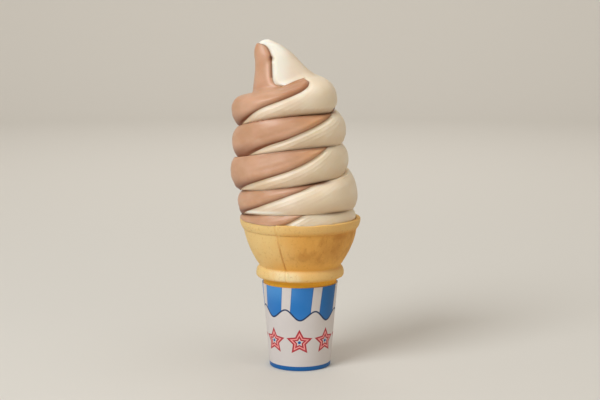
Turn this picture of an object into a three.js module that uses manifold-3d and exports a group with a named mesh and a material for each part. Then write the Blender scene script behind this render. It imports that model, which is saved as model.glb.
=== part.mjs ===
// A chocolate and vanilla twist of soft serve in a flat-bottomed wafer cup with a paper sleeve.
// Millimetres, +Z up. The origin is the centre of the cup's flat base.
import * as THREE from "three";
import { mergeVertices } from "three/addons/utils/BufferGeometryUtils.js";
import Module from "manifold-3d";

const wasm = await Module();
wasm.setup();

// ---- driving dimensions ----

const GAP = 0.3; // between any two neighbouring pieces
const STRAND_GAP = 0.42; // between the twisting faces of the two strands

// Wafer cup, a body of revolution.
const CUP_HEIGHT = 78;
const CUP_SIDES = 44;
const CURVE_STEPS = 3; // on each curve of the cup's profile
const RIM_RADIUS = 31;
const RIM_BAND_HEIGHT = 3.4;
const RIM_ROUNDING = 0.7;
const RIM_WALL = 2.1;
const BOWL_TOP_RADIUS = 29.1;
const BOWL_SHOULDER = { r: 27.9, z: 65 }; // the two pull points of the bowl's curve
const BOWL_HAUNCH = { r: 25, z: 58.3 };
const CREASE = { r: 21, z: 53.3 }; // where the bowl meets the bead
const BEAD_SLOPE = 1.2; // the bead's upper pull point is this far below the crease
const INNER_CREASE_DROP = 1; // the crease is this much lower on the inside
const BEAD = { r: 22.8, z: 49.6 }; // widest place of the bead under the bowl
const BEAD_FOOT = { r: 21.4, z: 47.3 };
const NECK = { r: 19.4, z: 46.9 };
const STEM_TOP = { r: 18.8, z: 44.2 };
const BASE_RADIUS = 15.1;
const BASE_CHAMFER = 0.5;
const WALL = 2;
const FLOOR_THICKNESS = 2.2;

// Paper sleeve round the stem.
const SLEEVE_THICKNESS = 0.5;
const SLEEVE_LOW = 0.4;
const SLEEVE_HIGH = 44.2;

// The rope of soft serve is laid in rising turns, anticlockwise seen from above.
// Its place is given in turns: whole numbers are at the left, -X, then it passes the front, -Y.
const ROPE_START = -4.15;
const ROPE_END = 1.05;
// Height of the rope's lower edge. One turn later the same value is its upper edge.
const SEAM_HEIGHTS = [
  [-3.5, 71.5], [-3.25, 74],
  [-3, 80], [-2.75, 83.3], [-2.5, 83.8], [-2.25, 87.4],
  [-2, 91.9], [-1.75, 97], [-1.5, 102.3], [-1.25, 105.5],
  [-1, 108.5], [-0.75, 115.2], [-0.5, 117], [-0.25, 119.8],
  [0, 123.9], [0.25, 131.5], [0.5, 132.7], [0.75, 137.5],
  [1, 141.4], [1.15, 143.2], [1.25, 145], [1.36, 148.3], [1.5, 150.6], [1.75, 151], [2.1, 150],
];
// Outer radius of the rope about the swirl's leaning axis.
const SWIRL_RADII = [
  [-4.5, 29.5], [-4, 30.2], [-3.5, 29.8], [-3, 30.7], [-2.5, 32.3], [-2, 32.1],
  [-1.5, 29.9], [-1, 29.8], [-0.5, 30.1], [0, 27.3], [0.5, 27.7],
  [0.75, 21], [0.9, 15], [1, 10.5], [1.1, 9],
];
// How far the strands' dividing line is turned from its plain place, in degrees.
const TWISTS = [
  [-4.2, 24], [-3.76, 21], [-3.4, 22], [-3, 36], [-2.86, 27], [-2.4, 20],
  [-2.05, 26], [-1.93, 21], [-1.82, 6], [-1.74, -2], [-1.6, 6], [-1.1, 10],
  [-0.95, 8], [-0.84, 1], [-0.74, -14], [-0.6, -11], [-0.35, 5], [0, 34],
  [0.12, 20], [0.25, 9], [0.31, 12], [0.37, 28], [0.45, 52], [0.55, 50], [0.8, 35], [1.1, 20],
];
const SWIRL_LEAN = 0.119; // sideways, towards -X, per mm of height
const LEAN_START = 70;
const GROOVE_DEPTH = 3.4; // between two turns
const LOBE_POWER = 2.4;
const NOTCH_DEPTH = 0.8; // where the two strands meet on the outside
const NOTCH_WIDTH = 1.6;
const DIVIDE_DEPTH = 10; // from the outside of the rope to the line that the strands turn about
const DIVIDE_SHARE = 0.55; // and at most this share of a thin rope's depth
const CORE_RADIUS = 4.2; // filled middle of the swirl
const CORE_BOTTOM = 60;
const CORE_TOP = 143;
const CORE_TOUCH = 0.3; // the filled middle reaches this far into the vanilla strand
// The top turn has nothing over it, so its upper side is round.
const OPEN_FROM = -0.28;
const OPEN_TO = 0.12;
const OPEN_BELLY = 7.5;
const OPEN_CREST = 11; // crest of the open turn, in from its outer radius
const OPEN_INNER_DROP = 5;
const OPEN_POWER = 2.4;
const SPILL_BELLY = 78.7; // the lowest turn is widest here, just over the cup's rim

// The peak where the rope was drawn up and let go, as level slices.
const PEAK = [
  { z: 135.5, left: -23, right: 3, depth: 11, y: 2.5 },
  { z: 142, left: -24.5, right: 7, depth: 12.5, y: 2.5 },
  { z: 147, left: -24.3, right: 7.4, depth: 12.2, y: 2.5 },
  { z: 152.6, left: -23.6, right: 5.3, depth: 11, y: 2 },
  { z: 157.7, left: -23.4, right: 0.8, depth: 9.4, y: 1.2 },
  { z: 161.8, left: -23.8, right: -3.3, depth: 7.8, y: 0.6 },
  { z: 165.9, left: -22.9, right: -9, depth: 5, y: 0.2 },
  { z: 168, left: -20.9, right: -13.4, depth: 2.6, y: 0 },
  { z: 169, left: -18.8, right: -16, depth: 1, y: 0 },
];
// Where chocolate, on the left, meets vanilla in the peak, at each height.
const PEAK_DIVIDES = [
  [135.5, -4], [143.5, -6], [147, -12], [151, -14.2],
  [159.5, -14.5], [161.8, -14.9], [164, -15.7], [166, -17.4], [167.6, -20], [169, -22.2],
];
const LEAST_CHOCOLATE = 1.2; // the chocolate half is at least this wide where it runs out
const LEAST_DIVIDE = 0.8; // the vanilla half keeps at least this far from the left edge
const PEAK_SLICES = 13;
const PEAK_POWER = 2.25;
const CHOCOLATE_PEAK_TOP = 167.1;

// How finely the soft serve is divided.
const STEPS_PER_TURN = 27;
const ARC_STEPS = 12; // along the outside of one strand's section
const CHORD_STEPS = 2; // along its dividing line
const FACE_STEPS = 36; // on the undivided rope's outside, before the strands' points are set
const FLAT_STEPS = 10;
const PEAK_SIDES = 72;
const CORE_SIDES = 16;
const HIDDEN_SIDES = 24; // of the filling inside the cup
const HIDDEN_SLACK = 2; // the gap between turns is wider inside by this share of its half
const HIDDEN_WEIGHT = 0.22; // share of points given to the hidden inside of a section
const VISIBLE_DEPTH = 7;
const SLIM = 0.12; // how far a cutting strand passes its dividing line
const FACET_TOLERANCE = 0.05;

const FILL_TOP = 71.5; // level of the plain filling under the rope, inside the cup
const LINK = { x: -24, width: 3, length: 7, high: 4 }; // joins the chocolate strand to its filling
const CUTTER_REACH = 60;

// ---- small helpers ----

// Smooth curve through [x, value] pairs.
function through(pairs, x) {
  const last = pairs.length - 1;
  if (x <= pairs[0][0]) return pairs[0][1];
  if (x >= pairs[last][0]) return pairs[last][1];
  let i = 0;
  while (x > pairs[i + 1][0]) i += 1;
  const [x0, y0] = pairs[i];
  const [x1, y1] = pairs[i + 1];
  const step = x1 - x0;
  const chord = (y1 - y0) / step;
  const before = i > 0 ? (y1 - pairs[i - 1][1]) / (x1 - pairs[i - 1][0]) : chord;
  const after = i < last - 1 ? (pairs[i + 2][1] - y0) / (pairs[i + 2][0] - x0) : chord;
  const s = (x - x0) / step;
  const flat = s * s * (3 - 2 * s);
  const leaving = s * (1 - s) * (1 - s) * step * before;
  const arriving = s * s * (s - 1) * step * after;
  return y0 + (y1 - y0) * flat + leaving + arriving;
}

function easeBetween(from, to, x) {
  const s = THREE.MathUtils.clamp((x - from) / (to - from), 0, 1);
  return s * s * (3 - 2 * s);
}

const mix = THREE.MathUtils.lerp;

// A closed solid through rings of points, with a fan over each end.
function loft(rings) {
  const sides = rings[0].length;
  const points = rings.flat();
  const triangles = [];
  for (let i = 0; i < rings.length - 1; i += 1) {
    for (let j = 0; j < sides; j += 1) {
      const a = i * sides + j;
      const b = i * sides + ((j + 1) % sides);
      triangles.push([a, b, b + sides], [a, b + sides, a + sides]);
    }
  }
  for (const ring of [0, rings.length - 1]) {
    const centre = new THREE.Vector3();
    for (const p of rings[ring]) centre.addScaledVector(p, 1 / sides);
    points.push(centre);
    for (let j = 0; j < sides; j += 1) {
      const edge = [ring * sides + j, ring * sides + ((j + 1) % sides)];
      triangles.push(ring === 0 ? [edge[1], edge[0], points.length - 1] : [...edge, points.length - 1]);
    }
  }
  return solidFrom(points, triangles);
}

function solidFrom(points, triangles) {
  const volume = triangles.reduce((sum, [a, b, c]) => {
    const cross = new THREE.Vector3().crossVectors(points[b], points[c]);
    return sum + points[a].dot(cross);
  }, 0);
  const outward = volume > 0 ? triangles : triangles.map(([a, b, c]) => [a, c, b]);
  return new wasm.Manifold(new wasm.Mesh({
    numProp: 3,
    vertProperties: new Float32Array(points.flatMap((p) => p.toArray())),
    triVerts: new Uint32Array(outward.flat()),
  }));
}

function solidFromGeometry(geometry) {
  const bare = geometry.clone();
  bare.deleteAttribute("normal");
  bare.deleteAttribute("uv");
  const merged = mergeVertices(bare, 1e-4);
  const position = merged.getAttribute("position");
  const points = [];
  for (let i = 0; i < position.count; i += 1) {
    points.push(new THREE.Vector3().fromBufferAttribute(position, i));
  }
  const index = merged.getIndex().array;
  const triangles = [];
  for (let i = 0; i < index.length; i += 3) {
    const [a, b, c] = index.slice(i, i + 3);
    if (a !== b && b !== c && c !== a) triangles.push([a, b, c]);
  }
  return solidFrom(points, triangles);
}

function geometryFrom(solid) {
  const mesh = solid.getMesh();
  const geometry = new THREE.BufferGeometry();
  geometry.setAttribute("position", new THREE.BufferAttribute(mesh.vertProperties.slice(), 3));
  geometry.setIndex(new THREE.BufferAttribute(mesh.triVerts.slice(), 1));
  geometry.computeVertexNormals();
  return geometry;
}

function largestPiece(solid) {
  const pieces = solid.decompose();
  return pieces.reduce((best, piece) => (piece.volume() > best.volume() ? piece : best));
}

// A profile of (radius, height) points turned about +Z.
function turned(profile, sides = CUP_SIDES) {
  return new THREE.LatheGeometry(profile, sides).rotateX(Math.PI / 2);
}

// ---- wafer cup ----

const BOWL_TOP = CUP_HEIGHT - RIM_BAND_HEIGHT;

function cupOutside() {
  const path = new THREE.Path();
  path.moveTo(0, 0);
  path.lineTo(BASE_RADIUS - BASE_CHAMFER, 0);
  path.lineTo(BASE_RADIUS, BASE_CHAMFER);
  path.lineTo(STEM_TOP.r, STEM_TOP.z);
  path.lineTo(NECK.r, NECK.z);
  path.lineTo(BEAD_FOOT.r, BEAD_FOOT.z);
  path.quadraticCurveTo(BEAD.r, BEAD_FOOT.z, BEAD.r, BEAD.z);
  path.quadraticCurveTo(BEAD.r, CREASE.z - BEAD_SLOPE, CREASE.r, CREASE.z);
  path.bezierCurveTo(
    BOWL_HAUNCH.r, BOWL_HAUNCH.z,
    BOWL_SHOULDER.r, BOWL_SHOULDER.z,
    BOWL_TOP_RADIUS, BOWL_TOP,
  );
  path.lineTo(RIM_RADIUS, BOWL_TOP);
  path.lineTo(RIM_RADIUS, CUP_HEIGHT - RIM_ROUNDING);
  path.absarc(RIM_RADIUS - RIM_ROUNDING, CUP_HEIGHT - RIM_ROUNDING, RIM_ROUNDING, 0, Math.PI / 2);
  return path.getPoints(CURVE_STEPS);
}

// The hollow, from the rim down to the floor's middle. A shrink above 0 moves it inwards.
function cupInside(shrink) {
  const path = new THREE.Path();
  path.moveTo(RIM_RADIUS - RIM_WALL - shrink, CUP_HEIGHT);
  path.lineTo(BOWL_TOP_RADIUS - WALL - shrink, BOWL_TOP);
  path.bezierCurveTo(
    BOWL_SHOULDER.r - WALL - shrink, BOWL_SHOULDER.z,
    BOWL_HAUNCH.r - WALL - shrink, BOWL_HAUNCH.z,
    CREASE.r - WALL - shrink, CREASE.z - INNER_CREASE_DROP,
  );
  path.lineTo(STEM_TOP.r - WALL - shrink, STEM_TOP.z);
  path.lineTo(BASE_RADIUS - WALL - shrink, FLOOR_THICKNESS + shrink);
  path.lineTo(0, FLOOR_THICKNESS + shrink);
  return path.getPoints(CURVE_STEPS);
}

function makeCup() {
  return turned([...cupOutside(), ...cupInside(0)]);
}

// ---- paper sleeve ----

function sleeveRadius(z) {
  return mix(BASE_RADIUS, STEM_TOP.r, z / STEM_TOP.z) + GAP;
}

function makeSleeve() {
  const low = sleeveRadius(SLEEVE_LOW);
  const high = sleeveRadius(SLEEVE_HIGH);
  const ring = [
    [low, SLEEVE_LOW],
    [low + SLEEVE_THICKNESS, SLEEVE_LOW],
    [high + SLEEVE_THICKNESS, SLEEVE_HIGH],
    [high, SLEEVE_HIGH],
    [low, SLEEVE_LOW],
  ];
  return turned(ring.map(([r, z]) => new THREE.Vector2(r, z)));
}

// ---- soft serve: the section of one strand ----

// The part of a closed outline on one side of a dividing line, as ARC_STEPS points along the
// outline and CHORD_STEPS along the line. inset(q) is how far the strand keeps back from the
// line at a distance q along it, and weight(p) how closely the points stand.
function halfOf(outline, pivot, direction, inset, notch, weight) {
  const along = new THREE.Vector2(-direction.y, direction.x);
  const side = outline.map((p) => {
    const offset = p.clone().sub(pivot);
    return offset.dot(direction) - inset(offset.dot(along));
  });
  const count = outline.length;
  const entry = side.findIndex((s, i) => s <= 0 && side[(i + 1) % count] > 0);
  if (entry < 0) throw new Error("the dividing line misses a section");
  const crossing = (i) => {
    const j = (i + 1) % count;
    return outline[i].clone().lerp(outline[j], side[i] / (side[i] - side[j]));
  };
  const arc = [crossing(entry)];
  let i = (entry + 1) % count;
  while (side[i] > 0) {
    arc.push(outline[i]);
    i = (i + 1) % count;
  }
  arc.push(crossing((i + count - 1) % count));

  const lengths = [0];
  const weights = [0];
  for (let k = 1; k < arc.length; k += 1) {
    const piece = arc[k].distanceTo(arc[k - 1]);
    lengths.push(lengths[k - 1] + piece);
    weights.push(weights[k - 1] + piece * weight(arc[k]));
  }
  const total = lengths[lengths.length - 1];
  const middle = arc.reduce((sum, p) => sum.addScaledVector(p, 1 / arc.length), new THREE.Vector2());
  const points = [];
  for (let n = 0; n <= ARC_STEPS; n += 1) {
    const target = (weights[weights.length - 1] * n) / ARC_STEPS;
    let k = 1;
    while (k < arc.length - 1 && weights[k] < target) k += 1;
    const share = (target - weights[k - 1]) / (weights[k] - weights[k - 1] || 1);
    const point = arc[k - 1].clone().lerp(arc[k], THREE.MathUtils.clamp(share, 0, 1));
    const length = mix(lengths[k - 1], lengths[k], share);
    const near = Math.min(length, total - length) / NOTCH_WIDTH;
    const inward = middle.clone().sub(point).normalize();
    points.push(point.addScaledVector(inward, notch * weight(point) * Math.exp(-near * near)));
  }
  const last = points[points.length - 1].clone();
  for (let n = 1; n < CHORD_STEPS; n += 1) {
    const q0 = last.clone().sub(pivot).dot(along);
    const q1 = points[0].clone().sub(pivot).dot(along);
    const q = mix(q0, q1, n / CHORD_STEPS);
    points.push(pivot.clone().addScaledVector(along, q).addScaledVector(direction, inset(q)));
  }
  return points;
}

// ---- soft serve: the rope ----

const INNER_RADIUS = CORE_RADIUS + GAP;

// The rope's whole section at a place, as (radius, height) points, upwards on the outside.
function ropeOutline(turn, inner) {
  const margin = GAP / 2;
  const open = easeBetween(OPEN_FROM, OPEN_TO, turn);
  const low = Math.max(through(SEAM_HEIGHTS, turn), FILL_TOP) + margin;
  const high = through(SEAM_HEIGHTS, turn + 1) - margin;
  const outer = through(SWIRL_RADII, turn) - margin;
  const belly = mix((low + high) / 2, low + OPEN_BELLY, open);
  const widest = Math.max(belly, SPILL_BELLY);
  const crest = Math.max(outer - OPEN_CREST, inner + 1);
  const outline = [];
  for (let i = 0; i <= FACE_STEPS; i += 1) {
    const s = (2 * i) / FACE_STEPS - 1;
    const lobe = outer - GROOVE_DEPTH * Math.abs(s) ** LOBE_POWER;
    if (s <= 0) {
      outline.push(new THREE.Vector2(lobe, widest + s * (widest - low)));
    } else {
      const power = 2 / OPEN_POWER;
      const round = crest + (outer - crest) * Math.max(0, Math.cos(s * Math.PI / 2)) ** power;
      const rise = mix(s, Math.sin(s * Math.PI / 2) ** power, open);
      outline.push(new THREE.Vector2(mix(lobe, round, open), widest + rise * (high - widest)));
    }
  }
  const topEdge = outline[outline.length - 1].x;
  for (let i = 1; i <= FLAT_STEPS; i += 1) {
    const s = i / FLAT_STEPS;
    const drop = mix(Math.min(1, 2 * s) * margin * HIDDEN_SLACK, OPEN_INNER_DROP * s * s, open);
    outline.push(new THREE.Vector2(mix(topEdge, inner, s), high - drop));
  }
  const bottomEdge = outline[0].x;
  for (let i = 0; i < FLAT_STEPS; i += 1) {
    outline.push(new THREE.Vector2(mix(inner, bottomEdge, i / FLAT_STEPS), low));
  }
  return { outline, outer, belly };
}

function leanAt(z) {
  return -SWIRL_LEAN * Math.max(0, z - LEAN_START);
}

// One strand of the rope. sign is 1 for chocolate and -1 for vanilla.
function ropeStrand(sign, inner) {
  const rings = [];
  const first = Math.ceil(ROPE_START * STEPS_PER_TURN);
  const last = Math.floor(ROPE_END * STEPS_PER_TURN);
  for (let i = first; i <= last; i += 1) {
    const turn = i / STEPS_PER_TURN;
    const angle = turn * 2 * Math.PI; // from the left, by the front
    const { outline, outer, belly } = ropeOutline(turn, inner);
    const facing = angle + THREE.MathUtils.degToRad(through(TWISTS, turn));
    const direction = new THREE.Vector2(Math.cos(facing), Math.sin(facing)).multiplyScalar(sign);
    const pivot = new THREE.Vector2(outer - Math.min(DIVIDE_DEPTH, (outer - inner) * DIVIDE_SHARE), belly);
    const along = new THREE.Vector2(-direction.y, direction.x);
    const inset = (q) => (STRAND_GAP / 2) * Math.hypot(1, q / Math.max(pivot.x + along.x * q, inner));
    const weight = (p) => (p.x > outer - VISIBLE_DEPTH ? 1 : HIDDEN_WEIGHT);
    const section = halfOf(outline, pivot, direction, inset, NOTCH_DEPTH, weight);
    rings.push(section.map(({ x: r, y: z }) => (
      new THREE.Vector3(leanAt(z) - r * Math.cos(angle), -r * Math.sin(angle), z)
    )));
  }
  return loftByTurns(rings);
}

// Turns that touch or cross each other are joined into one solid.
function loftByTurns(rings) {
  const turns = [];
  for (let i = 0; i < rings.length - 1; i += STEPS_PER_TURN) {
    turns.push(loft(rings.slice(i, i + STEPS_PER_TURN + 1)));
  }
  return turns.reduce((whole, turn) => whole.add(turn));
}

function coreColumn(radius, bottom = CORE_BOTTOM) {
  return loft([bottom, LEAN_START, CORE_TOP].map((z) => (
    Array.from({ length: CORE_SIDES }, (_, i) => {
      const a = (2 * Math.PI * i) / CORE_SIDES;
      return new THREE.Vector3(leanAt(z) + radius * Math.cos(a), radius * Math.sin(a), z);
    })
  )));
}

// ---- soft serve: the peak ----

function peakAt(key, z) {
  return through(PEAK.map((slice) => [slice.z, slice[key]]), z);
}

// A level slice. Its front and back stand out most between the middle and the dividing line.
function peakOutline(z, half) {
  const left = peakAt("left", z) + half;
  const right = peakAt("right", z) - half;
  const depth = peakAt("depth", z) - half;
  const ridge = mix((left + right) / 2, through(PEAK_DIVIDES, z), 0.5);
  const rounded = (v) => Math.sign(v) * Math.abs(v) ** (2 / PEAK_POWER);
  return Array.from({ length: PEAK_SIDES }, (_, i) => {
    const a = (2 * Math.PI * i) / PEAK_SIDES;
    const across = rounded(Math.cos(a));
    const reach = across > 0 ? right - ridge : ridge - left;
    return new THREE.Vector2(ridge + across * reach, peakAt("y", z) + rounded(Math.sin(a)) * depth);
  });
}

function peakStrand(sign, half, notch, bottom, top) {
  const rings = [];
  for (let i = 0; i <= PEAK_SLICES; i += 1) {
    const z = mix(bottom, top, Math.sin((i / PEAK_SLICES) * Math.PI / 2));
    const least = peakAt("left", z) + (sign > 0 ? LEAST_CHOCOLATE : LEAST_DIVIDE);
    const pivot = new THREE.Vector2(Math.max(through(PEAK_DIVIDES, z), least), peakAt("y", z));
    const direction = new THREE.Vector2(-sign, 0);
    const section = halfOf(peakOutline(z, half), pivot, direction, () => half, notch, () => 1);
    rings.push(section.map(({ x, y }) => new THREE.Vector3(x, y, z)));
  }
  return loft(rings);
}

// ---- soft serve: filling of the cup and the whole strands ----

// Everything that isn't free room in or over the cup.
function cupCutter() {
  const inside = cupInside(GAP).slice(0, -1);
  const rim = CUP_HEIGHT + GAP;
  const profile = [
    new THREE.Vector2(CUTTER_REACH, -1),
    new THREE.Vector2(CUTTER_REACH, rim),
    new THREE.Vector2(inside[0].x, rim),
    ...inside,
    new THREE.Vector2(inside[inside.length - 1].x, -1),
    new THREE.Vector2(CUTTER_REACH, -1),
  ];
  return solidFromGeometry(turned(profile));
}

function cupFilling(sign) {
  const level = FILL_TOP - GAP / 2;
  const inside = cupInside(GAP).filter((p) => p.y < level);
  const profile = [new THREE.Vector2(0, level), new THREE.Vector2(inside[0].x, level), ...inside];
  const whole = solidFromGeometry(turned(profile, HIDDEN_SIDES));
  const box = new THREE.BoxGeometry(CUTTER_REACH, 2 * CUTTER_REACH, 2 * CUP_HEIGHT);
  box.translate(-sign * (CUTTER_REACH / 2 + GAP / 2), 0, 0);
  return whole.intersect(solidFromGeometry(box));
}

function chocolateLink() {
  const box = new THREE.BoxGeometry(LINK.width, LINK.length, 2 * LINK.high);
  return solidFromGeometry(box.translate(LINK.x, 0, FILL_TOP));
}

function makeStrands() {
  const room = cupCutter();
  const chocolateRope = ropeStrand(1, INNER_RADIUS);
  const vanillaRope = ropeStrand(-1, CORE_RADIUS - CORE_TOUCH);
  const foot = PEAK[0].z;
  const tip = PEAK[PEAK.length - 1].z;
  const chocolatePeak = peakStrand(1, GAP / 2, NOTCH_DEPTH, foot, CHOCOLATE_PEAK_TOP);
  const vanillaPeak = peakStrand(-1, GAP / 2, NOTCH_DEPTH, foot, tip);
  const wideChocolatePeak = peakStrand(1, -SLIM, 0, foot - GAP, CHOCOLATE_PEAK_TOP + GAP);
  const wideVanillaPeak = peakStrand(-1, -SLIM, 0, foot - GAP, tip + GAP);

  const chocolate = chocolateRope
    .add(cupFilling(1).subtract(coreColumn(CORE_RADIUS + GAP, CORE_BOTTOM - GAP)))
    .add(chocolateLink())
    .subtract(wideVanillaPeak)
    .add(chocolatePeak)
    .subtract(room);
  const vanilla = vanillaRope
    .add(cupFilling(-1))
    .add(coreColumn(CORE_RADIUS))
    .subtract(wideChocolatePeak)
    .add(vanillaPeak)
    .subtract(room);
  return {
    chocolate: largestPiece(chocolate.asOriginal().simplify(FACET_TOLERANCE)),
    vanilla: largestPiece(vanilla.asOriginal().simplify(FACET_TOLERANCE)),
  };
}

// ---- the whole ----

function piece(name, geometry, color, roughness) {
  const material = new THREE.MeshStandardMaterial({ color, roughness, metalness: 0 });
  const mesh = new THREE.Mesh(geometry, material);
  mesh.name = name;
  return mesh;
}

const strands = makeStrands();
const cone = new THREE.Group();
cone.add(piece("cake_cone", makeCup(), 0xe0ad66, 0.75));
cone.add(piece("paper_sleeve", makeSleeve(), 0xe8e4e2, 0.6));
cone.add(piece("chocolate_strand", geometryFrom(strands.chocolate), 0xb8875f, 0.45));
cone.add(piece("vanilla_strand", geometryFrom(strands.vanilla), 0xeadfc8, 0.45));

export default cone;
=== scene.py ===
"""Looks of a chocolate and vanilla soft serve cone: swirl, wafer cup, paper sleeve, studio."""
import math

import bmesh
import bpy
import numpy as np
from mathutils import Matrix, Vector
from mathutils.bvhtree import BVHTree


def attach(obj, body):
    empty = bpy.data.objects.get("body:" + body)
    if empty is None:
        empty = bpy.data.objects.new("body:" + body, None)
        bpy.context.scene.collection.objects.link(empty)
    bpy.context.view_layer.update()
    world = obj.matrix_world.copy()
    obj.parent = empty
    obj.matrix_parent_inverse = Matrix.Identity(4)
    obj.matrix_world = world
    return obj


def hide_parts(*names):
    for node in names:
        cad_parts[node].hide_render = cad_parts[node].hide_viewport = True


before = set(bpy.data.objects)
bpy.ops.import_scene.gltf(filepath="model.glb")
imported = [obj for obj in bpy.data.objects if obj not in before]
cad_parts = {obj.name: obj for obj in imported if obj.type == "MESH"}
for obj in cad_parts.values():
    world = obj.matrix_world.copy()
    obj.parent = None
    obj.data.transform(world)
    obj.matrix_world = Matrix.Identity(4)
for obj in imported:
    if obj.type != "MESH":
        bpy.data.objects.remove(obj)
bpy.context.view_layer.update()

MM = 0.001  # the script counts in millimetres, and Blender in metres

# ---- cup and sleeve: the solid model's values ----

CUP_HEIGHT = 78
RIM_RADIUS = 31
RIM_BAND_LOW = 74.6
RIM_ROUNDING = 0.7
RIM_WALL = 2.1
BOWL_TOP_RADIUS = 29.1
BOWL_SHOULDER = (27.9, 65)
BOWL_HAUNCH = (25, 58.3)
CREASE = (21, 53.3)
BEAD_SLOPE = 1.2
BEAD = (22.8, 49.6)
BEAD_FOOT = (21.4, 47.3)
NECK = (19.4, 46.9)
STEM_TOP = (18.8, 44.2)
BASE_RADIUS = 15.1
BASE_CHAMFER = 0.5
WALL = 2
FLOOR_THICKNESS = 2.2
SLEEVE_LOW = 0.2  # a touch lower than the solid sleeve
SLEEVE_HIGH = 44.2
SLEEVE_GAP = 0.3
SLEEVE_THICKNESS = 0.5

# ---- cup and sleeve: what the fine meshes add ----

CUP_SIDES = 320
LIP_LINE = 72.6  # a low step under the rim, which flares out over it
LIP_RADIUS = 29.55
LIP_STEP = 0.5
LIP_FLARE = 3.9  # the flare's height
WARP_HEIGHTS = (46, 54)  # the cup's unevenness sets in between these
SKIN_HEIGHTS = (46.6, 47.6)  # and its rough skin, with the mould's seams
NICKED_EDGE = 1.2  # the nicks reach this far down from the rim's top
EDGE_DROP = 0.1
MOULD_SEAMS = (-21, 159)  # where the two halves of the baking mould met, from the front
MOULD_SLANT = -0.2  # degrees to the left for each mm of height
SEAM_MIDDLE = 63
SEAM_REACH = 4.2  # degrees beside a seam where the mesh is finer
SEAM_POINTS = 64
SEAM_DEPTH = 0.42
SEAM_WIDTH = 0.48
BOWL_RIDGE = 0.4  # height of the ridge beside the seam, as a share of the seam's depth
BEAD_RIDGE = 0.9
RIDGE_PLACE = 2.2  # from the seam, in widths of it
RIDGE_WIDTH = 0.45
SLEEVE_SIDES = 240
SLEEVE_LEVELS = 50
PAPER_SHARE = 0.76  # of the solid sleeve's thickness
PAPER_DENT = 0.08  # the paper's unevenness goes no further in
PAPER_CALM = 6  # under this height it fades out
TOP_WAVE = 0.12  # the paper's upper edge dips by twice this
HUG_GAP = 0.05  # the paper's inside lies this close to the cup
LAP_ANGLE = 166  # where the paper overlaps itself, from the front to the right
LAP_STEP = 0.18
LAP_FADE = 14

# ---- printed pattern of the sleeve ----

STRIPE_PERIOD = 49.2  # degrees
STRIPE_SHARE = 0.345  # half of a blue stripe, as a share of its period
STRIPE_PLACE = 4.2  # degrees from the front to the right, at the sleeve's top
STRIPE_SLANT = 0.27  # degrees to the left for each mm down
AWNING_LOW = 27.1  # bottom of a scallop
SCALLOP_DEPTH = 4.9
AWNING_TILT = 1.1  # the print sits this much higher on the left
OUTLINE = 0.4  # half of its width
FOOT_BAND_TOP = 2.4
STAR_PLACE = -1  # degrees from the front
STAR_HEIGHT = 15.4
STAR_RADIUS = 7
STAR_WAIST = 3.5
STAR_CELL = 14.4  # mm between the middles of two stars
DOT_RADIUS = 0.8

# ---- swirl: the solid model's values, with more points where the fine meshes show more ----

ROPE_START = -4.15
ROPE_END = 1.05
SEAM_HEIGHTS = [
    (-3.5, 71.5), (-3.25, 74),
    (-3, 80), (-2.75, 83.3), (-2.5, 83.8), (-2.25, 87.4),
    (-2, 91.9), (-1.75, 97), (-1.5, 102.3), (-1.25, 105.5),
    (-1, 108.5), (-0.75, 115.2), (-0.5, 117), (-0.25, 119.8),
    (0, 123.9), (0.25, 131.5), (0.5, 132.7), (0.75, 137.5),
    (1, 141.4), (1.15, 143.2), (1.25, 145), (1.36, 148.3), (1.5, 150.6), (1.75, 151), (2.1, 150),
]
SWIRL_RADII = [
    (-4.5, 29.5), (-4, 30.3), (-3.85, 31.1), (-3.76, 31.4), (-3.66, 31), (-3.5, 29.8), (-3, 30.7),
    (-2.5, 32.3), (-2, 32.1), (-1.5, 29.9), (-1, 29.8), (-0.5, 30.1), (0, 27.3), (0.5, 27.7),
    (0.75, 21), (0.9, 15), (1, 10.5), (1.1, 9),
]
TWISTS = [
    (-4.2, 24), (-3.86, 20), (-3.79, 17), (-3.735, 26), (-3.66, 24), (-3.4, 22), (-3.05, 36),
    (-2.94, 35), (-2.86, 27), (-2.68, 23), (-2.4, 20), (-2.05, 26), (-1.93, 21), (-1.83, 8),
    (-1.76, -2), (-1.7, -2), (-1.6, 6), (-1.4, 9), (-1.1, 10), (-0.95, 8), (-0.87, 4),
    (-0.81, -4), (-0.76, -13), (-0.71, -15), (-0.65, -13), (-0.59, -11), (-0.35, 5), (-0.1, 30),
    (0, 34), (0.06, 24), (0.12, 20), (0.18, 17), (0.23, 10), (0.27, 9), (0.31, 13), (0.33, 18),
    (0.345, 23), (0.36, 29), (0.372, 34), (0.386, 39), (0.4, 44), (0.414, 53), (0.426, 66),
    (0.438, 78), (0.46, 72), (0.5, 52), (0.8, 35), (1.1, 20),
]
SWIRL_LEAN = 0.119
LEAN_START = 70
DIVIDE_DEPTH = 10
DIVIDE_SHARE = 0.55
CORE_RADIUS = 4.2
CORE_TOP = 143
OPEN_FROM = -0.28
OPEN_TO = 0.12
OPEN_BELLY = 7.5
OPEN_CREST = 11
OPEN_POWER = 2.4
OPEN_INNER_DROP = 5
FILL_TOP = 71.5
CUP_MOUTH = ((70, 25.2), (74.6, 26.8), (77.8, 28.7))  # the lowest turn fills the cup's inside
SPILL_LOWS = [  # from here up that turn spreads out, and at the front it hangs over the rim
    (-4.2, 77.8), (-4, 77.8), (-3.87, 77.2), (-3.77, 76.7), (-3.71, 76.9), (-3.62, 77.8),
    (-3, 77.8),
]
SPILL_RISE = 0.4
SPILL_REACH = 4
SPILL_BELLY = 78.7
PEAK_HEIGHTS = [135.5, 142, 147, 152.6, 157.7, 161.8, 165.9, 168, 169]
PEAK_LEFT = [-23, -24.5, -24.3, -23.6, -23.4, -23.8, -22.9, -20.9, -18.8]
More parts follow.
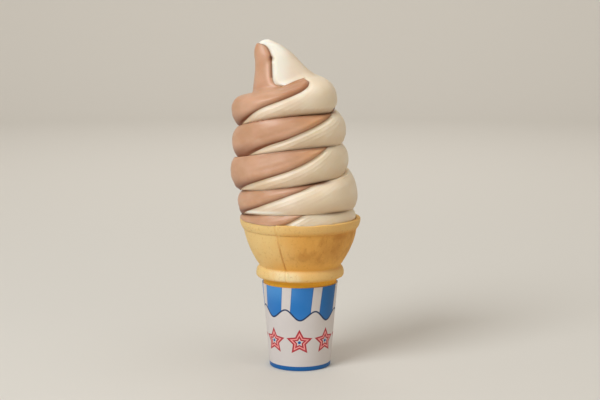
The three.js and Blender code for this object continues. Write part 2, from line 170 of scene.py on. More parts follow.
PEAK_RIGHT = [3, 7, 7.4, 5.3, 0.8, -3.3, -9, -13.4, -16]
PEAK_DEPTH = [11, 12.5, 12.2, 11, 9.4, 7.8, 5, 2.6, 1]
PEAK_Y = [2.5, 2.5, 2.5, 2, 1.2, 0.6, 0.2, 0, 0]
PEAK_DIVIDES = [
    (135.5, -4), (144, -6.5), (145.6, -9.5), (146.5, -12), (148, -13.4), (151, -14.2),
    (159.5, -14.5), (161.8, -14.9), (164.1, -15.8), (165.6, -16.9), (166.6, -18.4),
    (167.1, -20.5), (167.6, -22.2), (169, -22.2),
]
PEAK_POWER = 2.25
PEAK_LEAST = {"chocolate": 1.2, "vanilla": 0.8}  # the divide's least distance from the left
CHOCOLATE_PEAK_TOP = 167.1

# ---- swirl: what the fine meshes add ----

STEPS_PER_TURN = 200
LOBE_POINTS = 161  # on the rope's outside, before its section is divided
INNER_POINTS = 40  # on its upper and on its lower side
ARC_POINTS = 60
CHORD_POINTS = 4
SHOWN_DEPTH = (7, 17.5)  # how far in the surface shows, on a closed and on an open turn
HIDDEN_WEIGHT = 0.15  # of the rest when the points are spread
SEAM_GAP = 0.04  # between two turns, and between the strands
CORE_GAPS = {"chocolate": 0.12, "vanilla": -0.3}  # the vanilla reaches into the filled middle
GROOVE_DEPTHS = [  # of the narrow cusp between two turns, along the seam
    (-3.6, 2), (-3, 1.5), (-2.85, 1.4), (-2.72, 0.9), (-2.64, 2.2), (-2.58, 1.8), (-2.5, 3.5),
    (-2.25, 3.6), (-2, 3.9), (-1.9, 2.8), (-1.8, 2.8), (-1.7, 3.6), (-1.6, 1.7), (-1.5, 3.1),
    (-1.3, 3.6), (-1, 4.9), (-0.92, 1), (-0.84, 0.6), (-0.78, 1.3), (-0.68, 2.8), (-0.58, 1.8),
    (-0.5, 4.6), (-0.3, 4.2), (0, 4.4), (0.1, 1.8), (0.18, 1.8), (0.3, 3.2), (0.5, 3.9), (1, 3.9),
]
LOBE_POWER = 2.1
CUSP_POWER = 0.66
ROPE_SLACK = 0.1  # for the unevenness that stands out
CREASE_DEPTH = 1.1
CREASE_WIDTH = {"chocolate": 1.2, "vanilla": 1.9}
SHOULDER = (0.3, 2.8, 1.5)  # height, distance and width of the chocolate's swelling beside it
DIP = (0.25, 3.6)  # depth and width of the vanilla's wider dip round it
RIDGES = (0.15, 1.9, 4.2)  # height, spacing and reach of the fine ridges in the dip
RIDGE_PHASE = 0.1
CREASE_FADE = (0.34, 0.4)  # the turns at which the crease gets shallower
CREASE_LOSS = 0.7  # by this share
SEAM_CALM = (0.3, 2.4)  # heights above or under a seam where the crease runs out
OPEN_CALM = 9  # added to the height under the seam that the open turn doesn't have
STREAK_FADE = (0.27, 0.35)  # the turns at which the streaks run out
STREAK_CALM = (0.5, 2.5)  # distances from the crease where they set in
STREAK_PACE = 9  # mm of their pattern for one turn
RELIEF_FACING = (0.05, 0.6)  # relief only where the surface faces outwards, so that no seam opens
PEAK_LEVELS = 110
PEAK_POINTS = 240
PEAK_CREASE = {"chocolate": 0.3, "vanilla": 0.7}  # the crease's depth there, as a share
PEAK_FADE = (1, -6)  # heights over the chocolate's top where that crease runs out
PIT_HEIGHT = 159.5  # a small hole in the front of the peak, between the strands
PIT_DEPTH = 1.6
PIT_WIDTH = 0.9
PIT_TALL = 1.2
JOINT_START = -1.1  # the soft joint of rope and peak reaches no further along the rope
BLEND_REACH = (3, 5.5)  # its reach, at the left and at the right
BLEND_PLACE = (-26, -10)
BLEND_DEPTH = (-2.2, -1.2)  # the surface moves only outside these depths in either of the two
CONTACT = 0.02  # this close to a surface its own direction counts
SWIRL_SHARP = 55  # degrees at an edge that stays sharp


def mix(a, b, share):
    return a + (b - a) * share


def ease(low, high, x):
    share = np.clip((x - low) / (high - low), 0, 1)
    return share * share * (3 - 2 * share)


def hill(x, width, middle=0):
    """A smooth hill, 1 high at its middle."""
    return np.exp(-((x - middle) / width) ** 2)


def through(pairs, x):
    """Smooth curve through (x, value) pairs, at one place or at an array of them."""
    xs, ys = (np.array(column, float) for column in zip(*pairs))
    slopes = np.gradient(ys, xs)
    slopes[1:-1] = (ys[2:] - ys[:-2]) / (xs[2:] - xs[:-2])
    x = np.clip(x, xs[0], xs[-1])
    i = np.clip(np.searchsorted(xs, x) - 1, 0, len(xs) - 2)
    step = xs[i + 1] - xs[i]
    s = (x - xs[i]) / step
    flat = s * s * (3 - 2 * s)
    leaving = s * (1 - s) ** 2 * step * slopes[i]
    arriving = s * s * (s - 1) * step * slopes[i + 1]
    return ys[i] + (ys[i + 1] - ys[i]) * flat + leaving + arriving


def lean_at(z):
    return -SWIRL_LEAN * np.maximum(0, z - LEAN_START)


class Waves:
    """A sum of plain waves with fixed random directions: smooth, repeatable unevenness."""

    def __init__(self, seed, count, lengths, size):
        random = np.random.default_rng(seed)
        directions = random.normal(size=(count, 3))
        directions /= np.linalg.norm(directions, axis=1)[:, None]
        scale = 2 * math.pi / random.uniform(*lengths, size=(count, 1))
        self.waves = directions * scale
        self.phases = random.uniform(0, 2 * math.pi, count)
        self.size = size / math.sqrt(count / 2)

    def at(self, points):
        return self.size * np.sin(np.asarray(points) @ self.waves.T + self.phases).sum(axis=-1)


SWELL = Waves(seed=4, count=14, lengths=(16, 40), size=0.3)
STREAKS = Waves(seed=9, count=18, lengths=(1.6, 4.5), size=0.055)


# ---- swirl: section of one strand ----

def half_of(outline, pivot, direction, inset, weight):
    """The part of a closed outline on one side of a dividing line, with points spread by weight.

    Gives the points, and for those on the outline their distance from each end."""
    along = np.array([-direction[1], direction[0]])
    offset = outline - pivot
    side = offset @ direction - inset
    count = len(outline)
    entry = np.flatnonzero((side <= 0) & (np.roll(side, -1) > 0))[0]
    order = (entry + 1 + np.arange(count)) % count
    inside = int(np.argmin(side[order] > 0))
    leave = order[inside - 1]

    def crossing(i):
        j = (i + 1) % count
        return mix(outline[i], outline[j], side[i] / (side[i] - side[j]))

    arc = np.vstack([crossing(entry), outline[order[:inside]], crossing(leave)])
    pieces = np.linalg.norm(np.diff(arc, axis=0), axis=1)
    lengths = np.concatenate([[0], np.cumsum(pieces)])
    weights = np.concatenate([[0], np.cumsum(pieces * weight((arc[1:] + arc[:-1]) / 2))])
    targets = np.linspace(0, weights[-1], ARC_POINTS + 1)
    points = np.column_stack([np.interp(targets, weights, arc[:, k]) for k in (0, 1)])
    from_start = np.interp(targets, weights, lengths)
    tangent = np.gradient(points, axis=0)
    tangent /= np.linalg.norm(tangent, axis=1)[:, None] + 1e-9
    outward = np.column_stack([tangent[:, 1], -tangent[:, 0]])
    ends = [(points[i] - pivot) @ along for i in (-1, 0)]
    q = np.linspace(*ends, CHORD_POINTS + 1)[1:-1]
    chord = pivot + np.outer(q, along) + inset * direction
    return points, outward, from_start, lengths[-1] - from_start, chord


def crease_relief(flavour, distance):
    """How far the surface stands out at a distance from the line where the strands meet."""
    notch = -CREASE_DEPTH * hill(distance, CREASE_WIDTH[flavour])
    if flavour == "chocolate":
        height, place, width = SHOULDER
        return notch + height * hill(distance, width, place)
    depth, width = DIP
    height, spacing, reach = RIDGES
    wave = np.sin(2 * math.pi * (distance / spacing + RIDGE_PHASE))
    return notch + height * wave * np.exp(-distance / reach) - depth * hill(distance, width)


def rope_section(turn, inner):
    """The rope's whole section at a place, as (radius, height), upwards on the outside."""
    margin = SEAM_GAP / 2
    is_open = ease(OPEN_FROM, OPEN_TO, turn)
    low = max(through(SEAM_HEIGHTS, turn), FILL_TOP) + margin
    high = through(SEAM_HEIGHTS, turn + 1) - margin
    outer = through(SWIRL_RADII, turn) - ROPE_SLACK
    belly = mix((low + high) / 2, low + OPEN_BELLY, is_open)
    widest = max(belly, SPILL_BELLY)
    crest = max(outer - OPEN_CREST, inner + 1)

    s = np.sin(np.linspace(-math.pi / 2, math.pi / 2, LOBE_POINTS))
    away = 1 - (1 - np.abs(s) ** LOBE_POWER) ** CUSP_POWER
    groove = np.where(s < 0, through(GROOVE_DEPTHS, turn), through(GROOVE_DEPTHS, turn + 1))
    lobe = outer - groove * away
    below = s <= 0
    rounded = crest + (outer - crest) * np.cos(s * math.pi / 2) ** (2 / OPEN_POWER)
    rise = mix(s, np.sin(np.maximum(s, 0) * math.pi / 2) ** (2 / OPEN_POWER), is_open)
    radius = np.where(below, lobe, mix(lobe, rounded, is_open))
    height = np.where(below, widest + s * (widest - low), widest + rise * (high - widest))

    inwards = np.linspace(0, 1, INNER_POINTS + 1)[1:]
    top_radius = mix(radius[-1], inner, inwards)
    top_height = high - OPEN_INNER_DROP * inwards ** 2 * is_open
    bottom_radius = mix(inner, radius[0], np.linspace(0, 1, INNER_POINTS, endpoint=False))
    outline = np.column_stack([
        np.concatenate([radius, top_radius, bottom_radius]),
        np.concatenate([height, top_height, np.full(INNER_POINTS, low)]),
    ])
    return outline, outer, belly, is_open


def place(turn, section):
    """Points (radius, height) of a section, set in space at a place along the rope."""
    angle = 2 * math.pi * turn
    r, z = section[:, 0], section[:, 1]
    x, y = lean_at(z) - r * math.cos(angle), -r * math.sin(angle)
    spill_low = through(SPILL_LOWS, turn)
    spilt = ease(spill_low, spill_low + SPILL_RISE, z)
    mouth = np.interp(z, *zip(*CUP_MOUTH)) + SPILL_REACH * spilt
    within = np.where(spilt < 1, np.minimum(1, mouth / np.hypot(x, y)), 1)
    return np.column_stack([x * within, y * within, z])


def dividing_line(turn, outer, belly, inner):
    facing = 2 * math.pi * turn + math.radians(through(TWISTS, turn))
    direction = np.array([math.cos(facing), math.sin(facing)])
    pivot = np.array([outer - min(DIVIDE_DEPTH, (outer - inner) * DIVIDE_SHARE), belly])
    return direction, pivot


def stations(first, last):
    first, last = round(first * STEPS_PER_TURN), round(last * STEPS_PER_TURN)
    return np.arange(first, last + 1) / STEPS_PER_TURN


def rope_strand(flavour, inner):
    """Rings of points along one strand of the rope."""
    sign = 1 if flavour == "chocolate" else -1
    rings = []
    for turn in stations(ROPE_START, ROPE_END):
        outline, outer, belly, is_open = rope_section(turn, inner)
        direction, pivot = dividing_line(turn, outer, belly, inner)
        shown = outer - mix(*SHOWN_DEPTH, is_open)
        points, outward, start, end, chord = half_of(
            outline, pivot, direction * sign, SEAM_GAP / 2,
            lambda p: np.where(p[:, 0] > shown, 1, HIDDEN_WEIGHT),
        )
        showing = ease(shown - 0.5, shown + 1, points[:, 0])
        from_crease = np.minimum(start, end)
        relief = crease_relief(flavour, from_crease) * showing
        relief *= 1 - CREASE_LOSS * ease(*CREASE_FADE, turn)
        low, high = outline[:, 1].min(), outline[:, 1].max()
        from_seam = np.minimum(points[:, 1] - low, high - points[:, 1] + OPEN_CALM * is_open)
        relief *= ease(*SEAM_CALM, from_seam)
        still = np.zeros_like(start)
        pattern = np.column_stack([start, still + STREAK_PACE * turn, still])
        streaked = showing * ease(*STREAK_CALM, from_crease) * (1 - ease(*STREAK_FADE, turn))
        relief += STREAKS.at(pattern) * streaked
        relief += SWELL.at(place(turn, points)) * showing
        relief *= np.maximum(ease(*RELIEF_FACING, outward[:, 0]), is_open)
        section = np.vstack([points + outward * relief[:, None], chord])
        rings.append(place(turn, section))
    return rings


def whole_rope(inner):
    """Rings along the undivided rope, for the soft joint with the peak."""
    turns = stations(JOINT_START, ROPE_END)[::2]
    return [place(turn, rope_section(turn, inner)[0][::2]) for turn in turns]


# ---- swirl: the peak ----

def peak_at(values, z):
    return through(list(zip(PEAK_HEIGHTS, values)), z)


def peak_section(z):
    """A level slice of the peak. Its front and back are furthest out at the dividing line."""
    left, right = peak_at(PEAK_LEFT, z), peak_at(PEAK_RIGHT, z)
    divide = through(PEAK_DIVIDES, z)
    a = np.linspace(0, 2 * math.pi, PEAK_POINTS, endpoint=False)
    power = 2 / PEAK_POWER
    across = np.sign(np.cos(a)) * np.abs(np.cos(a)) ** power
    deep = np.sign(np.sin(a)) * np.abs(np.sin(a)) ** power
    ridge = mix((left + right) / 2, divide, 0.5)
    x = np.where(across > 0, ridge + across * (right - ridge), ridge + across * (ridge - left))
    y = peak_at(PEAK_Y, z) + deep * peak_at(PEAK_DEPTH, z)
    return np.column_stack([x, y]), left, divide


def peak_levels(bottom, top):
    return mix(bottom, top, np.sin(np.linspace(0, math.pi / 2, PEAK_LEVELS + 1)))


def peak_strand(flavour, gap, notch, bottom, top):
    """Rings of points up one strand of the peak. Without a notch they are plain, for cutting."""
    sign = 1 if flavour == "chocolate" else -1
    fade = [CHOCOLATE_PEAK_TOP + height for height in PEAK_FADE]
    rings = []
    for z in peak_levels(bottom, top):
        outline, left, divide = peak_section(z)
        middle = peak_at(PEAK_Y, z)
        pivot = np.array([max(divide, left + PEAK_LEAST[flavour]), middle])
        points, outward, start, end, chord = half_of(
            outline, pivot, np.array([-sign, 0.0]), gap / 2, lambda p: np.ones(len(p)),
        )
        from_crease = np.minimum(start, end)
        crease = PEAK_CREASE[flavour] * ease(*fade, z) * crease_relief(flavour, from_crease)
        pit = hill(from_crease, PIT_WIDTH) * hill(z, PIT_TALL, PIT_HEIGHT) * (points[:, 1] < middle)
        swell = SWELL.at(np.column_stack([points, np.full(len(points), z)]))
        relief = notch * (crease - PIT_DEPTH * pit + swell)
        section = np.vstack([points + outward * relief[:, None], chord])
        rings.append(np.column_stack([section, np.full(len(section), z)]))
    return rings


def whole_peak():
    levels = peak_levels(PEAK_HEIGHTS[0], PEAK_HEIGHTS[-1])
    return [np.column_stack([peak_section(z)[0], np.full(PEAK_POINTS, z)]) for z in levels]


# ---- meshes ----

def loft(rings, closed=False):
    """Points and faces of a solid through rings of points. A closed one comes back to the first
    ring, and any other has a fan over each end."""
    sides = len(rings[0])
    j = np.arange(sides)
    k = (j + 1) % sides
    low = np.arange(len(rings) - (not closed))[:, None] * sides
    high = (low + sides) % (len(rings) * sides)
    walls = np.stack([low + j, low + k, high + k, high + j], axis=-1).reshape(-1, 4).tolist()
    if closed:
        return np.vstack(rings), walls
    points = np.vstack([*rings, rings[0].mean(axis=0), rings[-1].mean(axis=0)])
    last = len(points) - 2 - sides
    first_fan = np.column_stack([k, j, np.full(sides, len(points) - 2)])
    last_fan = np.column_stack([last + j, last + k, np.full(sides, len(points) - 1)])
    return points, [*walls, *first_fan.tolist(), *last_fan.tolist()]


def put_in_scene(name, data):
    made = bpy.data.objects.new(name, data)
    bpy.context.scene.collection.objects.link(made)
    return made


def new_object(name, points, faces):
    mesh = bpy.data.meshes.new(name)
    mesh.from_pydata((np.asarray(points) * MM).tolist(), [], faces)
    mesh.validate()
    if signed_volume(mesh) < 0:
        mesh.flip_normals()
    return put_in_scene(name, mesh)


def signed_volume(mesh):
    copy = bmesh.new()
    copy.from_mesh(mesh)
    volume = copy.calc_volume(signed=True)
    copy.free()
    return volume


def vertex_array(mesh):
    points = np.empty(len(mesh.vertices) * 3)
    mesh.vertices.foreach_get("co", points)
    return points.reshape(-1, 3)


def combine(piece, others, operation):
    """Joins others to a piece, or cuts them out of it, and removes them."""
    for other in others:
        modifier = piece.modifiers.new("combine", "BOOLEAN")
        modifier.operation = operation
        modifier.object = other
        modifier.solver = "MANIFOLD"
    bpy.context.view_layer.update()
    graph = bpy.context.evaluated_depsgraph_get()
    made = bpy.data.meshes.new_from_object(piece.evaluated_get(graph))
    piece.modifiers.clear()
    piece.data = made
    for other in others:
        bpy.data.objects.remove(other)


def shade(piece, sharp_degrees):
    piece.data.shade_smooth()
    piece.data.set_sharp_from_angle(angle=math.radians(sharp_degrees))


# ---- swirl: soft joint between rope and peak ----

def signed_distance(tree, point):
    """Distance from a surface, below 0 inside it, and the direction away from it."""
    spot, normal, _, distance = tree.find_nearest(point)
    away = point - spot
    sign = 1 if away.dot(normal) >= 0 else -1
    direction = (away * sign).normalized() if distance > CONTACT * MM else normal
    return sign * distance, direction


def soften_joint(piece, rope_tree, peak_tree):
    """Raises the surface where rope and peak meet, as a smooth union of the two would."""
    points = vertex_array(piece.data)
    for i in np.flatnonzero(points[:, 2] > (PEAK_HEIGHTS[0] + 2) * MM):
        point = Vector(points[i])
        reach = float(mix(*BLEND_REACH, ease(*BLEND_PLACE, point.x / MM))) * MM
        target = None
        for _ in range(3):
            a, from_rope = signed_distance(rope_tree, point)
            b, from_peak = signed_distance(peak_tree, point)
            if target is None:
                target = min(a, b)
                strength = float(ease(*BLEND_DEPTH, target / MM))
            if abs(a - b) >= reach or strength == 0:
                break
            share = 0.5 + 0.5 * (b - a) / reach
            smooth = mix(b, a, share) - reach * share * (1 - share)
            step = (target - smooth) * strength
            point = point + from_peak.lerp(from_rope, share).normalized() * step
        points[i] = point
    piece.data.vertices.foreach_set("co", points.ravel())
    piece.data.update()


def tree_of(rings):
    points, faces = loft(rings)
    solid = new_object("joint_helper", points, faces)
    tree = BVHTree.FromObject(solid, bpy.context.evaluated_depsgraph_get())
    bpy.data.objects.remove(solid)
    return tree


def ring_at(z, radius, sides=48):
    a = np.linspace(0, 2 * math.pi, sides, endpoint=False)
    x = lean_at(z) + radius * np.cos(a)
    return np.column_stack([x, radius * np.sin(a), np.full(sides, z)])


def make_swirl():
    foot, tip = PEAK_HEIGHTS[0], PEAK_HEIGHTS[-1]
    gap = SEAM_GAP
    tops = {"chocolate": CHOCOLATE_PEAK_TOP, "vanilla": tip}
    strands = {}
    for flavour, other in (("chocolate", "vanilla"), ("vanilla", "chocolate")):
        inner = CORE_RADIUS + CORE_GAPS[flavour]
        strand = new_object(f"{flavour}_swirl", *loft(rope_strand(flavour, inner)))
        room = peak_strand(other, -gap, 0, foot - gap, tops[other] + gap)
        cutter = new_object("cutter", *loft(room))
        combine(strand, [cutter], "DIFFERENCE")
        extra = [new_object("peak", *loft(peak_strand(flavour, gap, 1, foot, tops[flavour])))]
        if flavour == "vanilla":
            core = [ring_at(z, CORE_RADIUS) for z in (LEAN_START, CORE_TOP)]
            extra.append(new_object("core", *loft(core)))
        combine(strand, extra, "UNION")
        strands[flavour] = strand
    rope_tree = tree_of(whole_rope(CORE_RADIUS))
    peak_tree = tree_of(whole_peak())
    for flavour, strand in strands.items():
        soften_joint(strand, rope_tree, peak_tree)
        shade(strand, SWIRL_SHARP)
        dress_strand(strand, flavour)


# ---- wafer cup ----

def bezier(*pulls, steps=12):
    """Points on a Bezier curve through its first and last pull point, without the first."""
    t = np.linspace(0, 1, steps + 1)[1:, None]
    degree = len(pulls) - 1
    return sum(
        math.comb(degree, i) * t ** i * (1 - t) ** (degree - i) * np.array(pull, float)
        for i, pull in enumerate(pulls)
    )


def line(a, b, steps=1):
    return bezier(a, b, steps=steps)


def off(point, r, z):
    return (point[0] + r, point[1] + z)


def cup_profile():
    """The cup's section as (radius, height), from under the base, over the rim, to the floor."""
    foot = (BASE_RADIUS - BASE_CHAMFER, 0)
    heel = (BASE_RADIUS, BASE_CHAMFER)
    bead_top = off(CREASE, 0.35, -0.7)
    bowl_foot = off(CREASE, 0.5, 0.6)
    lip = (LIP_RADIUS, LIP_LINE)
    under_lip = off(lip, -LIP_STEP, -0.5)
    lip_end = (RIM_RADIUS - 0.05, LIP_LINE + LIP_FLARE)
    rim = (RIM_RADIUS, CUP_HEIGHT - RIM_ROUNDING)
    crown = (RIM_RADIUS - RIM_ROUNDING, CUP_HEIGHT)
    inner_crown = (RIM_RADIUS - RIM_WALL + 0.5, CUP_HEIGHT)
    inner_rim = (RIM_RADIUS - RIM_WALL, CUP_HEIGHT - 0.6)
    inner_top = (BOWL_TOP_RADIUS - WALL, RIM_BAND_LOW)
    floor_edge = (BASE_RADIUS - WALL, FLOOR_THICKNESS)
    return np.vstack([
        [foot],
        bezier(foot, (BASE_RADIUS, 0), heel, steps=4),
        line(heel, STEM_TOP, 8),
        bezier(STEM_TOP, off(STEM_TOP, 0.3, 1.6), off(NECK, -0.2, -0.3), NECK, steps=5),
        bezier(NECK, (NECK[0] + 0.5, BEAD_FOOT[1]), BEAD_FOOT, steps=5),
        bezier(BEAD_FOOT, (BEAD[0], BEAD_FOOT[1]), BEAD, steps=9),
        bezier(BEAD, (BEAD[0], CREASE[1] - BEAD_SLOPE - 0.4), bead_top, steps=9),
        bezier(bead_top, off(CREASE, -0.1, 0), bowl_foot, steps=5),
        bezier(bowl_foot, off(BOWL_HAUNCH, -0.1, 0.2), BOWL_SHOULDER, under_lip, steps=34),
        bezier(under_lip, off(lip, -LIP_STEP, -0.2), lip, steps=4),
        bezier(lip, off(lip, 0.5, 0.7), (RIM_RADIUS - 0.2, LIP_LINE + 2), lip_end, steps=14),
        line(lip_end, rim, 5),
        bezier(rim, (RIM_RADIUS, CUP_HEIGHT), crown, steps=5),
        line(crown, inner_crown, 2),
        bezier(inner_crown, (RIM_RADIUS - RIM_WALL, CUP_HEIGHT), inner_rim, steps=4),
        line(inner_rim, inner_top, 2),
        bezier(
            inner_top, off(BOWL_SHOULDER, -WALL, 0), off(BOWL_HAUNCH, -WALL, 0),
            off(CREASE, -WALL, -1), steps=10,
        ),
        line(off(CREASE, -WALL, -1), off(STEM_TOP, -WALL, 0)),
        line(off(STEM_TOP, -WALL, 0), floor_edge),
    ])


def cup_angles():
    """Angles from the front to the right, closer together at the mould's seams."""
    even = np.linspace(-180, 180, CUP_SIDES, endpoint=False)
    close = [seam + np.linspace(-SEAM_REACH, SEAM_REACH, SEAM_POINTS) for seam in MOULD_SEAMS]
    away = np.min([np.abs(even - seam) for seam in MOULD_SEAMS], axis=0)
    return np.sort(np.concatenate([even[away >= SEAM_REACH + 0.1], *close]))


def mould_seam(angle, radius, z):
    """Relief of the fine line that the mould leaves: a crack with a thin ridge beside it."""
    ridge = SEAM_DEPTH * (BOWL_RIDGE if z > CREASE[1] else BEAD_RIDGE)
    relief = np.zeros_like(angle)
    for seam in MOULD_SEAMS:
        middle = seam + MOULD_SLANT * (z - SEAM_MIDDLE)
        across = np.radians(angle - middle) * radius
        relief -= SEAM_DEPTH * hill(across, SEAM_WIDTH)
        relief += ridge * hill(across, RIDGE_WIDTH, RIDGE_PLACE * SEAM_WIDTH)
    return relief


def round_ring(turn, reach, z):
    """Points at angles from the front to the right, a reach from the axis."""
    return np.column_stack([reach * np.sin(turn), -reach * np.cos(turn), np.zeros_like(turn) + z])


def make_cup():
    angles = cup_angles()
    turn = np.radians(angles)
    warp = Waves(seed=21, count=10, lengths=(24, 70), size=0.16)
    skin = Waves(seed=22, count=24, lengths=(3, 9), size=0.045)
    nicks = Waves(seed=23, count=16, lengths=(3, 12), size=0.09)
    rings = []
    profile = cup_profile()
    top = int(np.argmax(profile[:, 1]))
    for i, (radius, z) in enumerate(profile):
        base = round_ring(turn, radius, z)
        relief = warp.at(base) * float(ease(*WARP_HEIGHTS, z))
        if i <= top:
            rough = skin.at(base) + mould_seam(angles, radius, z)
            relief += rough * float(ease(*SKIN_HEIGHTS, z))
        rise = nicks.at(base) * float(ease(CUP_HEIGHT - NICKED_EDGE, CUP_HEIGHT, z))
        rise -= EDGE_DROP * (z > CUP_HEIGHT - EDGE_DROP)
        rings.append(round_ring(turn, radius + relief, z + np.minimum(rise, 0)))
    cup = new_object("wafer_cup", *loft(rings))
    shade(cup, 50)
    cup.data.materials.append(wafer_material())
    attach(cup, "root")
    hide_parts("cake_cone")


# ---- paper sleeve ----

def make_sleeve():
    angles = np.linspace(-180, 180, SLEEVE_SIDES, endpoint=False)
    turn = np.radians(angles)
    lap = LAP_STEP * ease(LAP_FADE, 0, (angles - LAP_ANGLE) % 360)
    waves = Waves(seed=31, count=10, lengths=(14, 40), size=0.056)
    heights = np.linspace(SLEEVE_LOW, SLEEVE_HIGH, SLEEVE_LEVELS + 1)
    inside, outside = [], []
    for z in heights:
        stem = mix(BASE_RADIUS, STEM_TOP[0], z / STEM_TOP[1])
        reach = stem + SLEEVE_GAP + SLEEVE_THICKNESS * PAPER_SHARE + lap
        dents = np.maximum(waves.at(round_ring(turn, reach, z)), -PAPER_DENT)
        reach = reach + dents * float(ease(SLEEVE_LOW, PAPER_CALM, z))
        level = z + TOP_WAVE * (np.sin(2 * turn + 1) - 1) * z / SLEEVE_HIGH
        outside.append(round_ring(turn, reach, level))
        inside.append(round_ring(turn, stem + HUG_GAP, level))
    sleeve = new_object("striped_sleeve", *loft(outside + inside[::-1], closed=True))
    shade(sleeve, 40)
    sleeve.data.materials.append(paper_material())
    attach(sleeve, "root")
    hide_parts("paper_sleeve")


# ---- materials ----

class Value:
    """A number or colour that shader nodes work out, with signs for arithmetic."""

    def __init__(self, nodes, socket):
        self.nodes = nodes
        self.socket = socket

    def __add__(self, other):
        return self.nodes.math("ADD", self, other)

    def __sub__(self, other):
        return self.nodes.math("SUBTRACT", self, other)

    def __rsub__(self, other):
        return self.nodes.math("SUBTRACT", other, self)

    def __mul__(self, other):
        return self.nodes.math("MULTIPLY", self, other)

    def __truediv__(self, other):
        return self.nodes.math("DIVIDE", self, other)

    def __abs__(self):
        return self.nodes.math("ABSOLUTE", self)


class Nodes:
    """A new material, with short forms for making and joining its shader nodes."""

    def __init__(self, name):
        self.material = bpy.data.materials.new(name)
        self.material.use_nodes = True
        self.tree = self.material.node_tree
        self.tree.nodes.clear()

    def add(self, kind, inputs={}, **settings):
        """Makes a node with these settings and inputs, and gives its outputs."""
        node = self.tree.nodes.new(kind)
        for key, value in settings.items():
            setattr(node, key, value)
        for key, value in inputs.items():
            if isinstance(value, Value):
                self.tree.links.new(value.socket, node.inputs[key])
            else:
                node.inputs[key].default_value = value
        return [Value(self, socket) for socket in node.outputs]

    def math(self, operation, *values):
        return self.add("ShaderNodeMath", dict(enumerate(values)), operation=operation)[0]

    def distance(self, a, b):
        """The distance of (a, b) from (0, 0)."""
        return self.math("SQRT", self.math("POWER", a, 2) + self.math("POWER", b, 2))

    def front_angle(self, x, y):
        """The angle from the front to the right, in radians."""
        return self.math("ARCTAN2", x, y * -1)

    def place(self):
        """The place on the object, in metres."""
        return self.add("ShaderNodeTexCoord")[3]

    def axes(self):
        """The same as x, y and z in millimetres."""
        return [axis * 1000 for axis in self.add("ShaderNodeSeparateXYZ", {0: self.place()})]

    def noise(self, scale, detail, roughness=0.5):
        """Noise in the object's space. The scale is given for each axis, in waves per metre."""
        vector = self.add("ShaderNodeMapping", {"Vector": self.place(), "Scale": scale})[0]
        inputs = {"Vector": vector, "Scale": 1, "Detail": detail, "Roughness": roughness}
        return self.add("ShaderNodeTexNoise", inputs)[0]

    def ramp(self, *values):
        """Turns a value between two limits into 0 to 1, or into what two further values say."""
        inputs = dict(enumerate(values))
        return self.add("ShaderNodeMapRange", inputs, interpolation_type="SMOOTHSTEP")[0]

    def blend(self, share, a, b):
        return self.add("ShaderNodeMix", {0: share, 6: a, 7: b}, data_type="RGBA")[2]

    def carried(self, name):
        """A tone that the mesh carries at its points."""
        return self.add("ShaderNodeAttribute", attribute_name=name)[2]

    def bump(self, height, distance, strength):
        inputs = {"Strength": strength, "Distance": distance, "Height": height}
        return self.add("ShaderNodeBump", inputs)[0]

    def finish(self, color, **values):
        inputs = {key.replace("_", " "): value for key, value in values.items()}
        shader = self.add("ShaderNodeBsdfPrincipled", {"Base Color": color, **inputs})[0]
        self.add("ShaderNodeOutputMaterial", {"Surface": shader})
        return self.material


def rgb(*screen):
    """A colour in linear light, given as red, green and blue on the screen, 0 to 255."""
    v = np.array(screen) / 255
    return (*np.where(v <= 0.04045, v / 12.92, ((v + 0.055) / 1.055) ** 2.4).tolist(), 1)


# ---- ice cream: colours, and painted shade and highlights that the meshes carry ----

# Besides each strand's own two uneven tones: a warmer tone painted for the light on the right side,
# a painted highlight colour, and a painted shade colour for creases and undersides.
ICE_COLORS = {
    "chocolate": {
        "light": rgb(210, 164, 133),
        "dark": rgb(200, 151, 116),
        "right": rgb(226, 166, 108),
        "highlight_and_pale_edge": rgb(228, 184, 156),
        "crease": rgb(132, 76, 44),
    },
    "vanilla": {
        "light": rgb(239, 221, 198),
        "dark": rgb(231, 209, 182),
        "right": rgb(243, 224, 186),
        "highlight_and_pale_edge": rgb(243, 237, 222),
        "crease": rgb(204, 166, 120),
    },
}
# Painted light: a warmer tone blended in towards the right side.
RIGHT_LIGHT_SHARE = {"chocolate": 0.6, "vanilla": 0.35}
RIGHT_LIGHT_SIDE = (-6, 14)
SCATTER = {"chocolate": (1.0, 0.55, 0.3), "vanilla": (1.0, 0.75, 0.5)}
CHOCOLATE_TONGUE_SHADE = rgb(168, 104, 58)
GROOVE_SHADE_BROWN = rgb(112, 66, 34)
GROOVE_SHADE_REACH = 0.8
GROOVE_SHADES = [  # painted shade in the groove between two turns, along the seam
    (-3.5, 0), (-3.1, 0.3), (-2.96, 0.9), (-2.89, 0.9), (-2.84, 0.1), (-2.7, 0.1), (-2.65, 0.6),
    (-2.6, 0.6), (-2.56, 0), (-2.2, 0), (-2, 0.5), (-1.85, 0.3), (-1.75, 0.6), (-1.7, 0.95),
    (-1.66, 0.95), (-1.63, 0.3), (-1.59, 0), (-1.2, 0), (-0.95, 0), (-0.85, 0.2), (-0.75, 0.5),
    (-0.65, 0.8), (-0.61, 0.5), (-0.585, 0), (-0.5, 0), (0, 0), (0.12, 0.2), (0.25, 0.4),
    (0.38, 0.7), (0.42, 0.3), (0.5, 0), (1, 0),
]
TOP_GROOVE_END = -0.4  # the turns from here on have nothing over them
CREASE_SHADE_WIDTH = {"chocolate": 0.8, "vanilla": 0.45}  # width of the painted shade along the line where the strands meet
CREASE_SHADE_SHARE = 0.8
PEAK_FROM = 150  # the height from which the crease is the peak's
PIT_SHADE = 0.8
UNDERSIDE_SHADE = {"chocolate": 1.2, "vanilla": 0.55}  # painted shade under each turn, in the crease colour
